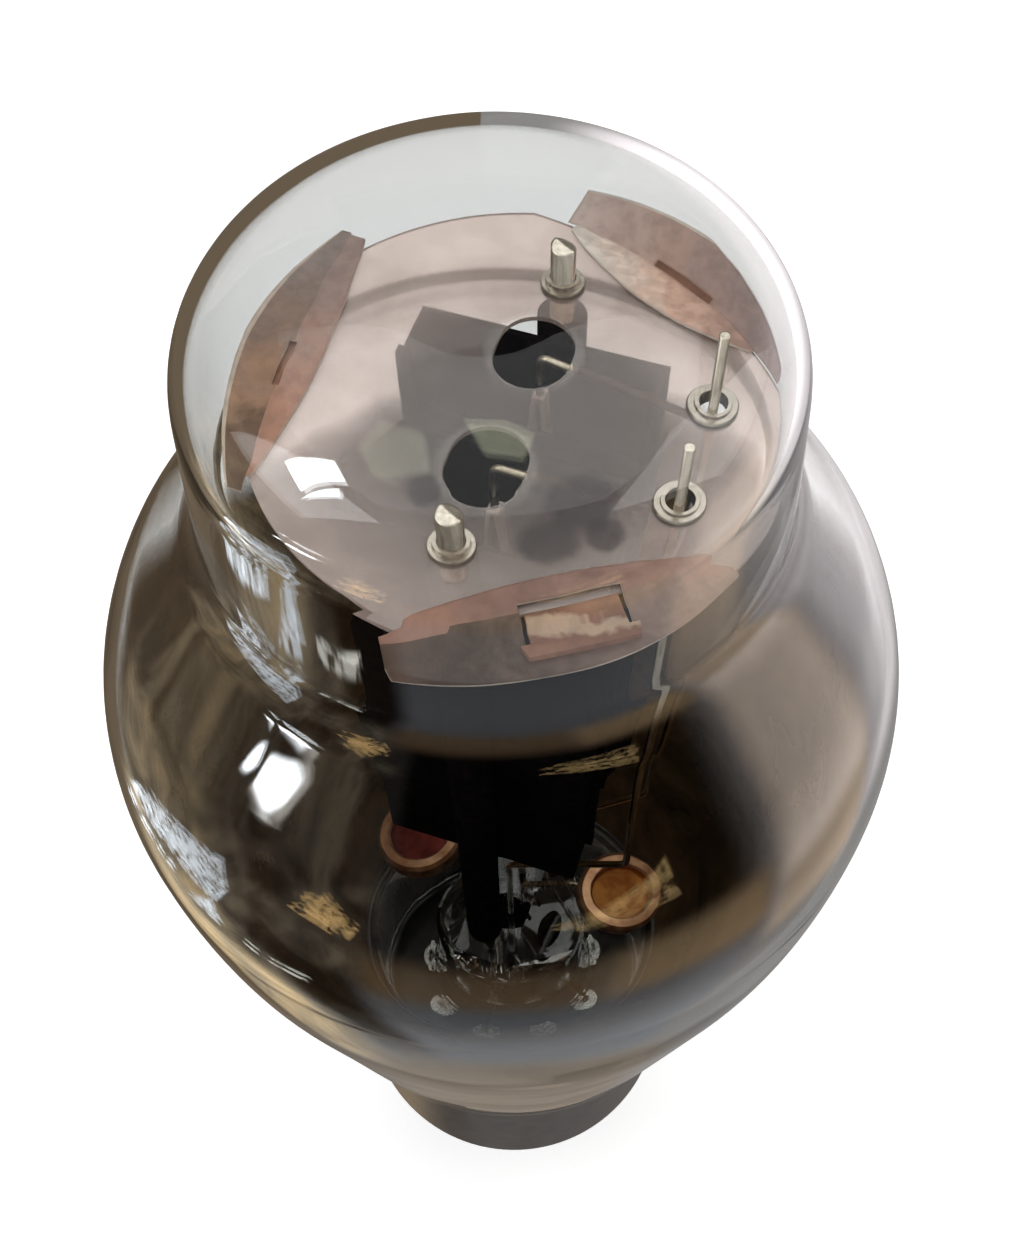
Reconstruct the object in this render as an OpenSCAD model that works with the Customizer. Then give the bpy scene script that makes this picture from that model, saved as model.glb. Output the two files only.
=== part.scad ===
// Full-wave rectifier tube: shouldered glass bulb, electrode mount on a pressed stem, keyed eight-pin base.
// The seat of the base is at z = 0, the tube's axis is Z, and the pins point down.

/* [Bulb] */
// Largest outside diameter of the bulb
bulb_d = 52; // [48:0.5:58]
// Height of the dome's top above the seat
bulb_top_z = 114; // [108:0.5:124]
// Glass wall
glass_t = 1; // [0.7:0.1:1.3]
// Outside diameter at the dome's upper corner, before rounding
dome_d = 32.2; // [31.4:0.2:34]
// How far the corner lies below the top
dome_fall = 1.3; // [0.8:0.1:2]
// Radius that rounds the dome's corner
knuckle_r = 6.5; // [5:0.5:7.5]
// Outside diameter where the dome meets the shoulder
waist_d = 35; // [34.6:0.2:37]
// Height of the waist
waist_z = 97.4; // [96:0.2:99]
// Height at which the shoulder reaches the full diameter
shoulder_z = 84.9; // [82:0.1:86]
// Height at which the belly starts to taper
belly_z = 71; // [66:0.5:76]
// Outside diameter at the heel, above the base
heel_d = 38.8; // [37:0.2:41]
// Height of the heel
heel_z = 31; // [29:0.5:34]

/* [Stem] */
// Height of the seal where the stem's flare meets the neck
seal_z = 9; // [7:0.5:12]
// Outside diameter of the stem's tube
stem_d = 15; // [13:0.5:17]
// Height at which the tube starts to be flattened
press_low_z = 27; // [25:0.5:29]
// Top of the flat press
press_top_z = 38; // [36:0.5:41]
// Width of the press, along the row of rods
press_w = 16.4; // [15:0.2:18]
// Thickness of the press
press_t = 5.4; // [5:0.2:6.5]
// Distance of the plate rods from the middle of the press
rod_foot = 5.6; // [5.2:0.1:5.8]
// Distance of the filament leads from the middle of the press
lead_foot = 3.5; // [3.2:0.1:3.8]
// Distance of the filament posts from the middle of the press
post_foot = 1.8; // [1.6:0.1:2]
// Distance of the getter supports from the press's middle plane
cup_foot = 1.5; // [1.2:0.1:1.7]
// Outside diameter of the exhaust tube
exhaust_d = 4.4; // [3.6:0.2:5]

/* [Mica] */
// How far the mica's upper face lies below the dome's top
mica_drop = 9; // [8.4:0.1:11]
// Thickness of the mica
mica_t = 0.3; // [0.2:0.05:0.5]
// Room between the mica's rim and the glass, when the mount is centred
mica_gap = 1.65; // [1.4:0.05:2]
// Width of each oval window
window_w = 4.1; // [3.4:0.1:4.6]
// Length of each oval window
window_l = 4.9; // [4.2:0.1:5.2]
// Distance of a window's middle from the mount's middle
window_at = 3.85; // [3.6:0.05:4.4]
// Length of the left bumper leaf
leaf_l_left = 17.4; // [14:0.1:17.6]
// Length of the right bumper leaf
leaf_l_right = 16; // [14:0.1:16.4]
// Length of the front bumper leaf
leaf_l_front = 17; // [14:0.1:17.2]
// Width of the part that lies on the mica
leaf_in = 2.4; // [1.8:0.1:2.8]
// Width of the part that reaches for the glass
leaf_out = 3; // [2.2:0.1:3.1]
// Thickness of a bumper leaf
leaf_t = 0.2; // [0.1:0.05:0.3]
// Distance of the leaf's fold inside the mica's rim
fold_in = 1.85; // [1.7:0.05:2.2]
// How far the right leaf is bent up
leaf_up_right = 36; // [20:1:45]
// How far the left leaf is bent up
leaf_up_left = 5; // [2:1:20]
// How far the front leaf is bent up
leaf_up_front = 3; // [2:1:20]
// Direction of the left leaf from the mount's middle
leaf_turn_left = 164; // [158:1:170]
// Direction of the right leaf from the mount's middle
leaf_turn_right = 42; // [38:1:46]
// Direction of the front leaf from the mount's middle
leaf_turn_front = -78; // [-84:1:-74]
// Width of the disc's tongue that holds a leaf
tongue_w = 4.6; // [4:0.1:5]
// Length of a tongue beyond the fold
tongue_l = 2.4; // [2:0.1:2.6]
// Width of the barb on each side of a tongue's end
barb = 0.35; // [0.2:0.05:0.5]
// How far the left tongue is bent up
tongue_up_left = 27; // [24:1:36]
// How far the right tongue is bent up
tongue_up_right = 4; // [0:1:8]
// How far the front tongue is bent up
tongue_up_front = 25; // [22:1:34]

/* [Electrode mount] */
// How far the mount stands off the bulb's axis, to the right
mount_dx = 1; // [0:0.1:1.1]
// Turn of the row of rods about the axis
mount_turn = 69.4; // [60:0.2:80]
// Diameter of the plate rods
rod_d = 1.4; // [1:0.1:1.6]
// Distance of a plate rod from the mount's middle
rod_at = 8.95; // [8.8:0.05:9.3]
// How far the plate rods stand above the mica
rod_rise = 2.9; // [2:0.1:4]
// Diameter of the filament posts
post_d = 0.55; // [0.4:0.05:0.8]
// Distance of a post from the row of rods
post_side = 9.8; // [9.6:0.1:10.4]
// Half the distance between the posts
post_at = 3.2; // [2.6:0.1:3.6]
// How far the back post stands above the mica
post_rise_back = 5.1; // [3:0.1:6]
// How far the front post stands above the mica
post_rise_front = 4.4; // [3:0.1:6]
// Wall and flange thickness of the eyelets
eyelet_t = 0.2; // [0.15:0.05:0.25]
// Width of the flange of the plate rods' eyelets
flange_rod = 0.3; // [0.25:0.05:0.45]
// Width of the flange of the posts' eyelets
flange_post = 0.42; // [0.3:0.02:0.5]

/* [Plates] */
// Depth of a plate box, along the row of rods
plate_u = 6.6; // [6.2:0.1:7]
// Width of a plate box
plate_w = 13.4; // [12:0.1:14.4]
// Height of a plate box
plate_h = 40; // [36:0.5:44]
// Sheet thickness
plate_t = 0.3; // [0.2:0.05:0.4]
// Room between the two plate boxes
plate_gap = 1.2; // [0.8:0.1:1.6]
// Room between the plates and the mica
plate_drop = 2.2; // [2:0.1:3]
// Extra reach of a plate's outer half at its left end
plate_wide = 0.9; // [0.5:0.1:1.1]
// Bevel of a plate's inner half at its left end
plate_bevel = 0.85; // [0.5:0.05:1.2]
// Width of the seam flange on the left side of a box
fin_left = 0.3; // [0.2:0.1:0.6]
// Width of the seam flange on the right side of a box
fin_right = 0.5; // [0.3:0.1:0.8]
// Spacing of the notches in the seam flanges
notch_step = 4; // [3:0.5:6]
// Outside diameter of the sleeve round a plate rod
sleeve_d = 2.8; // [2.7:0.1:3]
// How far the sleeve reaches below the box
sleeve_tail = 13; // [8:0.5:16]

/* [Filaments] */
// Width of the filament ribbon
ribbon_w = 0.9; // [0.6:0.1:1.2]
// Thickness of the filament ribbon
ribbon_t = 0.25; // [0.2:0.05:0.35]
// How far a filament stands behind the middle of its window
filament_back = 1; // [0:0.1:1.5]
// Half the spread of the ribbon's feet
foot_half = 3.4; // [2.6:0.1:4]
// How far the ribbon's top hangs below the arm of its hook
hook_drop = 3; // [2:0.1:4]
// How far the ribbon's feet lie below the boxes
foot_drop = 4; // [3:0.5:6]
// Diameter of the hook and lead wires
wire_d = 0.6; // [0.5:0.05:0.8]

/* [Getters] */
// Outside diameter of a getter cup
cup_d = 7.8; // [6.8:0.1:8.2]
// Depth of the cup
cup_h = 1.6; // [1.2:0.1:2]
// Width of the cup's rim channel
cup_rim = 1.2; // [0.9:0.1:1.5]
// Distance of a cup from the mount's middle
cup_at = 9.4; // [9:0.1:9.8]
// Height of a cup's middle
cup_z = 43; // [42:0.5:45]
// Lean of a cup towards the bulb's wall
cup_lean = 10; // [0:1:20]

/* [Base] */
// Outside diameter of the base
base_d = 32.8; // [32:0.1:34]
// Height of the base
base_h = 24; // [22:0.5:26]
// Wall of the base
base_t = 1; // [0.8:0.1:1.2]
// Thickness of the cement between the neck and the base
cement_t = 0.6; // [0.4:0.1:0.8]
// Thickness of the base's floor
floor_t = 3; // [2.5:0.1:4]
// Bevel on the base's lower edge
base_bevel = 0.9; // [0.5:0.1:1.4]
// Pin circle diameter
pin_circle = 17.45; // [17.25:0.05:17.65]
// Pin diameter
pin_d = 2.36; // [2.3:0.02:2.42]
// Diameter of a pin's shank in the floor
shank_d = 1.84; // [1.8:0.02:1.9]
// Length of a pin below the seat
pin_l = 11.1; // [10:0.1:12]
// Diameter of the key
key_d = 7.9; // [7.6:0.05:8]
// Length of the key below the seat
key_l = 14.3; // [13:0.1:15]
// Width of the key's ridge
ridge_w = 1.6; // [1.4:0.1:2]
// Height of the key's ridge
ridge_h = 1; // [0.8:0.1:1.1]
// Turn of the ridge about the axis
ridge_turn = -90; // [-180:45:180]

/* [Clearances] */
// Room round a part that passes through a hole
slip = 0.03; // [0.02:0.01:0.05]
// Room between a wire and the piece it is joined to
joint_gap = 0.05; // [0.02:0.01:0.08]

/* [Hidden] */

crown_r = 55;
waist_r = 13;
shoulder_r = 17;
belly_r = 110;
heel_r = 8;
neck_z = base_h - 0.4;

mica_z = bulb_top_z - mica_drop;
dome_corner_z = bulb_top_z - dome_fall;
dome_slope = (waist_d - dome_d) / 2 / (dome_corner_z - waist_z);
glass_r_at_mica = dome_d / 2 + dome_slope * (dome_corner_z - mica_z) - glass_t;
mica_r = glass_r_at_mica - mica_gap;
fold_r = mica_r - fold_in;
plate_top_z = mica_z - mica_t - plate_drop;
plate_low_z = plate_top_z - plate_h;
plate_mid = plate_gap / 2 + plate_u / 2;
foot_z = plate_low_z - foot_drop;
bar_z = foot_z - joint_gap - wire_d / 2;
arm_z = mica_z - mica_t - plate_drop / 2;
apex_z = arm_z - hook_drop;
weld_z = press_top_z - 4;
rise_z = press_top_z + 3;
bore_h = press_top_z - weld_z + 1;
post_bend_z = cup_z + cup_d * 0.64;
lead_bend_z = cup_z + cup_d / 4;
base_in_r = base_d / 2 - base_t;
neck_r = base_in_r - cement_t;
stem_r = stem_d / 2;
cup_r = cup_d / 2;
pin_r = pin_d / 2;
shank_r = shank_d / 2;
pin_bore_r = wire_d / 2 + 0.4;
pin_head_h = 0.6;
recess_h = 0.4;
pin_cup_z = floor_t - 0.8;
tail_low_z = plate_low_z - sleeve_tail;

// The stem's axis as seen from the mount's frame
stem_x = -mount_dx * cos(mount_turn);
stem_y = mount_dx * sin(mount_turn);

// A point list whose corners are rounded: p holds the corners, r the radius at each one
function unit(v) = v / norm(v);
function corner(a, b, c, r, n) =
    let (u = unit(a - b), w = unit(c - b), cosang = max(-1, min(1, u * w)))
    let (half = acos(cosang) / 2)
    (r <= 0 || half > 89.5) ? [b] :
    let (t = min(r / tan(half), 0.49 * norm(a - b), 0.49 * norm(c - b)))
    let (rr = t * tan(half), m = b + unit(u + w) * rr / sin(half))
    let (s = unit(b + u * t - m), e = unit(b + w * t - m), turn = acos(max(-1, min(1, s * e))))
    [for (i = [0:n]) m + rr * (s * sin(turn * (n - i) / n) + e * sin(turn * i / n)) / sin(turn)];
function rounded(p, r, n) = [
    for (i = [0:len(p) - 1])
        each (i == 0 || i == len(p) - 1) ? [p[i]] : corner(p[i - 1], p[i], p[i + 1], r[i], n)
];

// The same line moved t to its left-hand side
function normal2(a, b) = let (d = unit(b - a)) [-d[1], d[0]];
function inset(p, t) = [
    for (i = [0:len(p) - 1])
        p[i] + t * unit(normal2(p[max(i - 1, 0)], p[min(i + 1, len(p) - 1)]))
];

// Outer line of the bulb, from the top down to the seal
bulb_line = rounded([
    [0, bulb_top_z],
    [dome_d / 4, bulb_top_z],
    [dome_d / 2, dome_corner_z],
    [waist_d / 2, waist_z],
    [bulb_d / 2, shoulder_z],
    [bulb_d / 2, belly_z],
    [heel_d / 2, heel_z],
    [neck_r, neck_z],
    [neck_r, seal_z]
], [0, crown_r, knuckle_r, waist_r, shoulder_r, belly_r, heel_r, 2, 0], 6);
bulb_inside = inset(bulb_line, -glass_t);

// A round wire of diameter d along the points p, with bends of radius bend
function path3(p, bend, n) = rounded(p, [for (i = p) bend], n);
function tangent(p, i) = unit(p[min(i + 1, len(p) - 1)] - p[max(i - 1, 0)]);
function frames(p, i, x) =
    let (t = tangent(p, i), y = unit(x - (x * t) * t))
    i == len(p) - 1 ? [y] : concat([y], frames(p, i + 1, y));
module wire(points, d, bend = 1.5, sides = 12, steps = 4) {
    p = path3(points, bend, steps);
    t0 = tangent(p, 0);
    x0 = abs(t0[2]) > 0.9 ? [1, 0, 0] : [0, 0, 1];
    f = frames(p, 0, x0);
    n = len(p);
    pts = [
        for (i = [0:n - 1]) let (t = tangent(p, i), a = f[i], b = cross(t, a))
            for (k = [0:sides - 1]) p[i] + d / 2 * (cos(360 * k / sides) * a + sin(360 * k / sides) * b)
    ];
    sideways = [
        for (i = [0:n - 2], k = [0:sides - 1]) let (q = (k + 1) % sides)
            [i * sides + k, (i + 1) * sides + k, (i + 1) * sides + q, i * sides + q]
    ];
    first = [[for (k = [0:sides - 1]) k]];
    last = [[for (k = [sides - 1:-1:0]) (n - 1) * sides + k]];
    polyhedron(points = pts, faces = concat(sideways, first, last), convexity = 6);
}

// The mount's own frame: x runs along the row of rods to the back, y to the left
module on_mount() {
    translate([mount_dx, 0, 0]) rotate(mount_turn) children();
}

// Bores in the press: one for each rod, post, lead and getter support
module press_bores() {
    for (s = [-1, 1]) {
        translate([s * rod_foot, 0, weld_z]) cylinder(d = rod_d + 2 * slip, h = bore_h, $fn = 32);
        translate([s * lead_foot, 0, weld_z]) cylinder(d = wire_d + 2 * slip, h = bore_h, $fn = 24);
        for (x = [rod_foot, lead_foot])
            translate([s * x, 0, press_low_z - 3])
                cylinder(d = wire_d + 2 * slip, h = weld_z - press_low_z + 3.1, $fn = 24);
        translate([s * post_foot, -cup_foot / 2, weld_z])
            cylinder(d = post_d + 2 * slip, h = bore_h, $fn = 24);
        translate([0, s * cup_foot, weld_z]) cylinder(d = wire_d + 2 * slip, h = bore_h, $fn = 24);
    }
}

// The stem stands on the bulb's axis and only turns with the mount
module on_stem() {
    rotate(mount_turn) children();
}

module glass_envelope() {
    color([0.82, 0.86, 0.88, 0.35])
        rotate_extrude($fn = 96)
            polygon(concat(bulb_line, [for (i = [len(bulb_inside) - 1:-1:0]) bulb_inside[i]]));
}

// Flare, tube, press and exhaust tube, melted into one piece of glass
module glass_stem() {
    outer = rounded([
        [0, seal_z - glass_t], [neck_r, seal_z - glass_t], [neck_r, seal_z], [neck_r - glass_t, seal_z],
        [stem_r + 1, seal_z + 3.4], [stem_r, seal_z + 9], [stem_r, press_low_z], [0, press_low_z]
    ], [0, 0, 0, 0, 4, 4, 0, 0], 5);
    inner = rounded([
        [0, seal_z - 2 * glass_t], [neck_r - glass_t, seal_z - 2 * glass_t],
        [neck_r - 1.4 * glass_t, seal_z - glass_t],
        [stem_r + 0.3, seal_z + 2.6], [stem_r - glass_t, seal_z + 9],
        [stem_r - glass_t, press_low_z - 1], [0, press_low_z - 1]
    ], [0, 0, 0, 4, 4, 0, 0], 5);
    shoulder_top = press_low_z + 6;
    color([0.82, 0.86, 0.88, 0.35])
        difference() {
            union() {
                difference() {
                    rotate_extrude($fn = 64) polygon(outer);
                    rotate_extrude($fn = 64) polygon(inner);
                }
                on_stem() hull() {
                    translate([0, 0, press_low_z - 0.5]) cylinder(r = stem_r - 0.3, h = 0.8, $fn = 32);
                    translate([-press_w / 2, -press_t / 2, shoulder_top])
                        cube([press_w, press_t, press_top_z - shoulder_top]);
                }
                translate([0, 0, -6]) cylinder(d = exhaust_d, h = press_low_z + 5.6, $fn = 32);
                translate([0, 0, -8]) cylinder(r1 = exhaust_d / 5, r2 = exhaust_d / 2, h = 2, $fn = 32);
            }
            on_stem() press_bores();
        }
}

// Direction of the three bumpers and the bend of each one's tongue
leaf_turn = [leaf_turn_left, leaf_turn_right, leaf_turn_front];
tongue_up = [tongue_up_left, tongue_up_right, tongue_up_front];

// Round hole of an eyelet's tube in the mica
function eyelet_hole_r(inner) = inner + eyelet_t + slip;
rod_eyelet_r = rod_d / 2 + slip;
post_eyelet_r = post_d / 2 + 0.5;

module oval(w, l) {
    square([l - w, w], center = true);
    for (s = [-1, 1]) translate([s * (l - w) / 2, 0]) circle(d = w, $fn = 48);
}

// A tongue of the disc, with a barb on each side of its end
module tongue(up) {
    barb_l = 0.8;
    rotate([0, -up, 0]) translate([0, 0, -mica_t]) linear_extrude(mica_t) {
        translate([-mica_t, -tongue_w / 2]) square([tongue_l + mica_t, tongue_w]);
        translate([tongue_l - barb_l, -tongue_w / 2 - barb]) square([barb_l, tongue_w + 2 * barb]);
    }
}

module mica_disc() {
    color([0.62, 0.5, 0.46, 0.6])
        translate([mount_dx, 0, mica_z]) {
            translate([0, 0, -mica_t]) linear_extrude(mica_t) difference() {
                circle(r = mica_r, $fn = 96);
                for (turn = leaf_turn)
                    rotate(turn) translate([fold_r, -mica_r]) square([mica_r, 2 * mica_r]);
                rotate(mount_turn) for (s = [-1, 1]) {
                    translate([s * window_at, 0]) oval(window_w, window_l);
                    translate([s * rod_at, 0]) circle(r = eyelet_hole_r(rod_eyelet_r), $fn = 40);
                    translate([s * post_at, -post_side]) circle(r = eyelet_hole_r(post_eyelet_r), $fn = 40);
                }
            }
            for (k = [0:2]) rotate(leaf_turn[k]) translate([fold_r, 0, 0]) tongue(tongue_up[k]);
        }
}

// Half of a pointed oval: length l, width w, on the +x side of the fold
module half_leaf(l, w) {
    r = (l * l / 4 + w * w) / (2 * w);
    intersection() {
        translate([w - r, 0]) circle(r = r, $fn = 160);
        translate([0, -l]) square([w + 1, 2 * l]);
    }
}

// How far outside the fold a slot must reach for the tongue: up is the leaf's bend, rise the tongue's
function slot_reach(up, rise) = rise > up
    ? (mica_t / cos(rise) + leaf_t / cos(up) + 0.1) / (tan(rise) - tan(up))
    : 0.3 / (tan(up) - tan(rise));

// A pointed mica leaf folded along its length: the inner half lies on the disc, the outer half reaches
// for the glass, and a slot across the fold lets the disc's tongue through
module bumper(turn, l, up, rise) {
    slot_in = 0.2;
    slot_out = slot_reach(up, rise);
    slot_w = tongue_w + 0.3;
    color([0.72, 0.45, 0.36, 0.8])
        translate([mount_dx, 0, mica_z]) rotate(turn) translate([fold_r, 0, 0])
            difference() {
                union() {
                    linear_extrude(leaf_t) mirror([1, 0]) half_leaf(l, leaf_in);
                    rotate([0, -up, 0]) linear_extrude(leaf_t) half_leaf(l, leaf_out);
                }
                translate([-slot_in, -slot_w / 2, -leaf_out])
                    cube([slot_in + slot_out, slot_w, 2 * leaf_out]);
            }
}
module mica_bumper_left() { bumper(leaf_turn_left, leaf_l_left, leaf_up_left, tongue_up_left); }
module mica_bumper_right() { bumper(leaf_turn_right, leaf_l_right, leaf_up_right, tongue_up_right); }
module mica_bumper_front() { bumper(leaf_turn_front, leaf_l_front, leaf_up_front, tongue_up_front); }

// A plate rod rises from the press, steps out, passes the plate's sleeve and the mica, and is cut slanting
module plate_rod(s) {
    top = mica_z + rod_rise;
    color([0.78, 0.76, 0.7])
        on_mount() difference() {
            wire([
                [stem_x + s * rod_foot, stem_y, weld_z],
                [stem_x + s * rod_foot, stem_y, rise_z],
                [s * rod_at, 0, tail_low_z - 1],
                [s * rod_at, 0, top]
            ], rod_d, 2, 20);
            translate([s * rod_at, 0, top - rod_d * 0.15]) rotate([14, -8, 0])
                translate([-3, -3, 0]) cube([6, 6, 4]);
        }
}
module plate_rod_front() { plate_rod(-1); }
module plate_rod_back() { plate_rod(1); }

// A filament post rises beside the plates and carries the arm of a hook
module filament_post(s, rise) {
    color([0.8, 0.78, 0.72])
        on_mount() wire([
            [stem_x + s * post_foot, stem_y - cup_foot / 2, weld_z],
            [stem_x + s * post_foot, stem_y - cup_foot / 2, post_bend_z],
            [s * post_at, -post_side, foot_z],
            [s * post_at, -post_side, mica_z + rise]
        ], post_d, 2, 12);
}
module filament_post_front() { filament_post(-1, post_rise_front); }
module filament_post_back() { filament_post(1, post_rise_back); }

// Flanged eyelet through the mica, of bore radius inner
module eyelet(inner, flange, collar) {
    tube = inner + eyelet_t;
    color([0.75, 0.72, 0.66])
        translate([0, 0, mica_z])
            rotate_extrude($fn = 40) polygon([
                [inner, -mica_t - eyelet_t], [tube + flange * 0.8, -mica_t - eyelet_t],
                [tube + flange, -mica_t],
                [tube, -mica_t], [tube, 0], [tube + flange * 0.8, 0], [tube + flange, eyelet_t * 0.5],
                [tube + flange * 0.8, eyelet_t], [tube + 0.05, eyelet_t], [tube, collar], [inner, collar]
            ]);
}
module rod_eyelet(s) { on_mount() translate([s * rod_at, 0, 0]) eyelet(rod_eyelet_r, flange_rod, 0.55); }
module post_eyelet(s) {
    on_mount() translate([s * post_at, -post_side, 0]) eyelet(post_eyelet_r, flange_post, 0.35);
}
module rod_eyelet_front() { rod_eyelet(-1); }
module rod_eyelet_back() { rod_eyelet(1); }
module post_eyelet_front() { post_eyelet(-1); }
module post_eyelet_back() { post_eyelet(1); }

// Outline of a plate box, drawn in by t: a straight outer wall and one bevelled end
module plate_outline(s, t) {
    u = plate_u / 2 - t;
    w = plate_w / 2 - t;
    polygon([
        [-s * u, -w], [s * u, -w], [s * u, w + plate_wide],
        [s * 0.4, w + plate_wide], [-s * u, w - plate_bevel]
    ]);
}

// An open plate box with a notched seam flange on each side and a sleeve for its rod
module plate_box(s) {
    sleeve_x = s * (rod_at - plate_mid);
    fin_mid = (plate_wide + fin_left - fin_right) / 2;
    fin_w = plate_w + plate_wide + fin_left + fin_right;
    color([0.06, 0.06, 0.065])
        on_mount() translate([s * plate_mid, 0, 0]) {
            difference() {
                translate([0, 0, plate_low_z]) linear_extrude(plate_h) difference() {
                    union() {
                        plate_outline(s, 0);
                        translate([0, fin_mid])
                            square([2 * plate_t, fin_w], center = true);
                        translate([s * plate_u / 2 - (s < 0 ? rod_at - plate_mid - plate_u / 2 : 0), -0.7])
                            square([rod_at - plate_mid - plate_u / 2, 1.4]);
                        translate([sleeve_x, 0]) circle(d = sleeve_d, $fn = 40);
                    }
                    plate_outline(s, plate_t);
                    translate([sleeve_x, 0]) circle(d = rod_d + 2 * slip, $fn = 40);
                }
                for (k = [1:3], f = [[1, plate_wide + fin_left, fin_left], [-1, fin_right, fin_right]])
                    translate([0, f[0] * (plate_w / 2 + f[1]), plate_low_z + (k - 0.3) * notch_step])
                        rotate([0, 90, 0]) cylinder(r = f[2] * 0.6, h = 4, center = true, $fn = 24);
            }
            translate([sleeve_x, 0, tail_low_z]) linear_extrude(sleeve_tail) difference() {
                circle(d = sleeve_d, $fn = 40);
                circle(d = rod_d + 2 * slip, $fn = 40);
            }
        }
}
module plate_front() { plate_box(-1); }
module plate_back() { plate_box(1); }

function ribbon_x(s) = s * window_at + filament_back;

// Ribbon folded over its hook into a narrow inverted V
module ribbon(s) {
    tip = 0.35;
    color([0.86, 0.84, 0.8])
        on_mount() translate([ribbon_x(s) - ribbon_w / 2, 0, 0]) rotate([90, 0, 90]) linear_extrude(ribbon_w)
            polygon([
                [-foot_half - ribbon_t / 2, foot_z], [-tip, apex_z], [tip, apex_z],
                [foot_half + ribbon_t / 2, foot_z],
                [foot_half - ribbon_t / 2, foot_z], [tip - ribbon_t, apex_z - ribbon_t],
                [ribbon_t - tip, apex_z - ribbon_t], [ribbon_t / 2 - foot_half, foot_z]
            ]);
}
module filament_front() { ribbon(-1); }
module filament_rear() { ribbon(1); }

// The arm of a hook runs from its post over the plate box and turns down to the ribbon
module hook(s) {
    start = -post_side + post_d / 2 + joint_gap;
    color([0.8, 0.77, 0.66])
        on_mount() wire([
            [s * post_at, start, arm_z],
            [ribbon_x(s), 0, arm_z],
            [ribbon_x(s), 0, apex_z + joint_gap]
        ], wire_d * 0.8, 0.5, 12, 5);
}
module filament_hook_front() { hook(-1); }
module filament_hook_back() { hook(1); }

// A lead rises from the press and runs under one foot of each ribbon
module filament_lead(s) {
    near = ribbon_x(-s) - s * ribbon_w;
    far = ribbon_x(s) + s * ribbon_w;
    color([0.8, 0.66, 0.4])
        on_mount() wire([
            [stem_x - s * lead_foot, stem_y, weld_z],
            [stem_x - s * lead_foot, stem_y, lead_bend_z],
            [near, s * foot_half, bar_z],
            [far, s * foot_half, bar_z]
        ], wire_d, 1.2, 12, 5);
}
module filament_lead_left() { filament_lead(1); }
module filament_lead_right() { filament_lead(-1); }

// A point of the cup's own frame: a outwards along its face, h up from its middle
function cup_point(s, a, h) = [
    0,
    s * (cup_at + a * cos(cup_lean) + h * sin(cup_lean)),
    cup_z - a * sin(cup_lean) + h * cos(cup_lean)
];

// A pressed ring channel with a sunk floor
module getter_cup(s) {
    t = 0.25;
    low = -cup_h / 2;
    high = cup_h / 2;
    floor_z = high - 0.9;
    in_r = cup_r - cup_rim;
    color([0.72, 0.42, 0.26])
        on_mount() translate([0, s * cup_at, cup_z]) rotate([-s * cup_lean, 0, 0])
            rotate_extrude($fn = 64) polygon([
                [0, floor_z - t], [in_r + 0.1, floor_z - t], [in_r + t, floor_z], [in_r + t, high - t],
                [cup_r - t, high - t], [cup_r - t, low], [cup_r, low], [cup_r, high - 0.3],
                [cup_r - 0.3, high], [in_r + 0.2, high], [in_r, high - 0.2], [in_r, floor_z + 0.15],
                [in_r - 0.15, floor_z], [0, floor_z]
            ]);
}
module getter_cup_left() { getter_cup(1); }
module getter_cup_right() { getter_cup(-1); }

// A wire from the press holds the cup under its floor
module getter_support(s) {
    under = cup_h / 2 - 0.9 - 0.25 - joint_gap - wire_d / 2;
    color([0.82, 0.68, 0.42])
        on_mount() wire([
            [stem_x, stem_y + s * cup_foot, weld_z],
            [stem_x, stem_y + s * cup_foot, press_top_z + 1.5],
            cup_point(s, -cup_r - 0.6, -cup_h / 2 - wire_d),
            cup_point(s, -cup_r + cup_rim + 0.9, under),
            cup_point(s, 1.2, under)
        ], wire_d, 0.8, 12, 4);
}
module getter_support_left() { getter_support(1); }
module getter_support_right() { getter_support(-1); }

function pin_az(k) = ridge_turn + 22.5 + 45 * (k - 1);

// Moulded base: shell, floor with a recessed hole for each pin, and the hollow key with its ridge
module base_shell() {
    r = base_d / 2;
    key_r = key_d / 2;
    key_wall = 1.1;
    color([0.2, 0.16, 0.13])
        difference() {
            union() {
                rotate_extrude($fn = 96) polygon([
                    [0, 0], [r - base_bevel, 0], [r, base_bevel], [r, base_h - 0.5], [r - 0.5, base_h],
                    [base_in_r, base_h], [base_in_r, floor_t], [0, floor_t]
                ]);
                translate([0, 0, -key_l]) cylinder(r1 = key_r - 0.5, r2 = key_r, h = 0.5, $fn = 48);
                translate([0, 0, 0.5 - key_l]) cylinder(r = key_r, h = key_l, $fn = 48);
                rotate(ridge_turn) translate([key_r - 0.6, -ridge_w / 2, 0.8 - key_l])
                    cube([ridge_h + 0.6, ridge_w, key_l - 0.3]);
            }
            translate([0, 0, 1.2 - key_l]) cylinder(r = key_r - key_wall, h = key_l + floor_t, $fn = 48);
            for (k = [1:8])
                rotate(pin_az(k)) translate([pin_circle / 2, 0, -1]) {
                    cylinder(r = pin_r + slip, h = 1 + recess_h, $fn = 32);
                    cylinder(r = shank_r + slip, h = floor_t + 2, $fn = 32);
                }
        }
}

// Cement that fills the space between the neck and the base
module base_cement() {
    color([0.75, 0.72, 0.66])
        translate([0, 0, seal_z + 1]) rotate_extrude($fn = 96)
            translate([neck_r, 0]) square([cement_t, base_h - 1.5 - seal_z - 1]);
}

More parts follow.
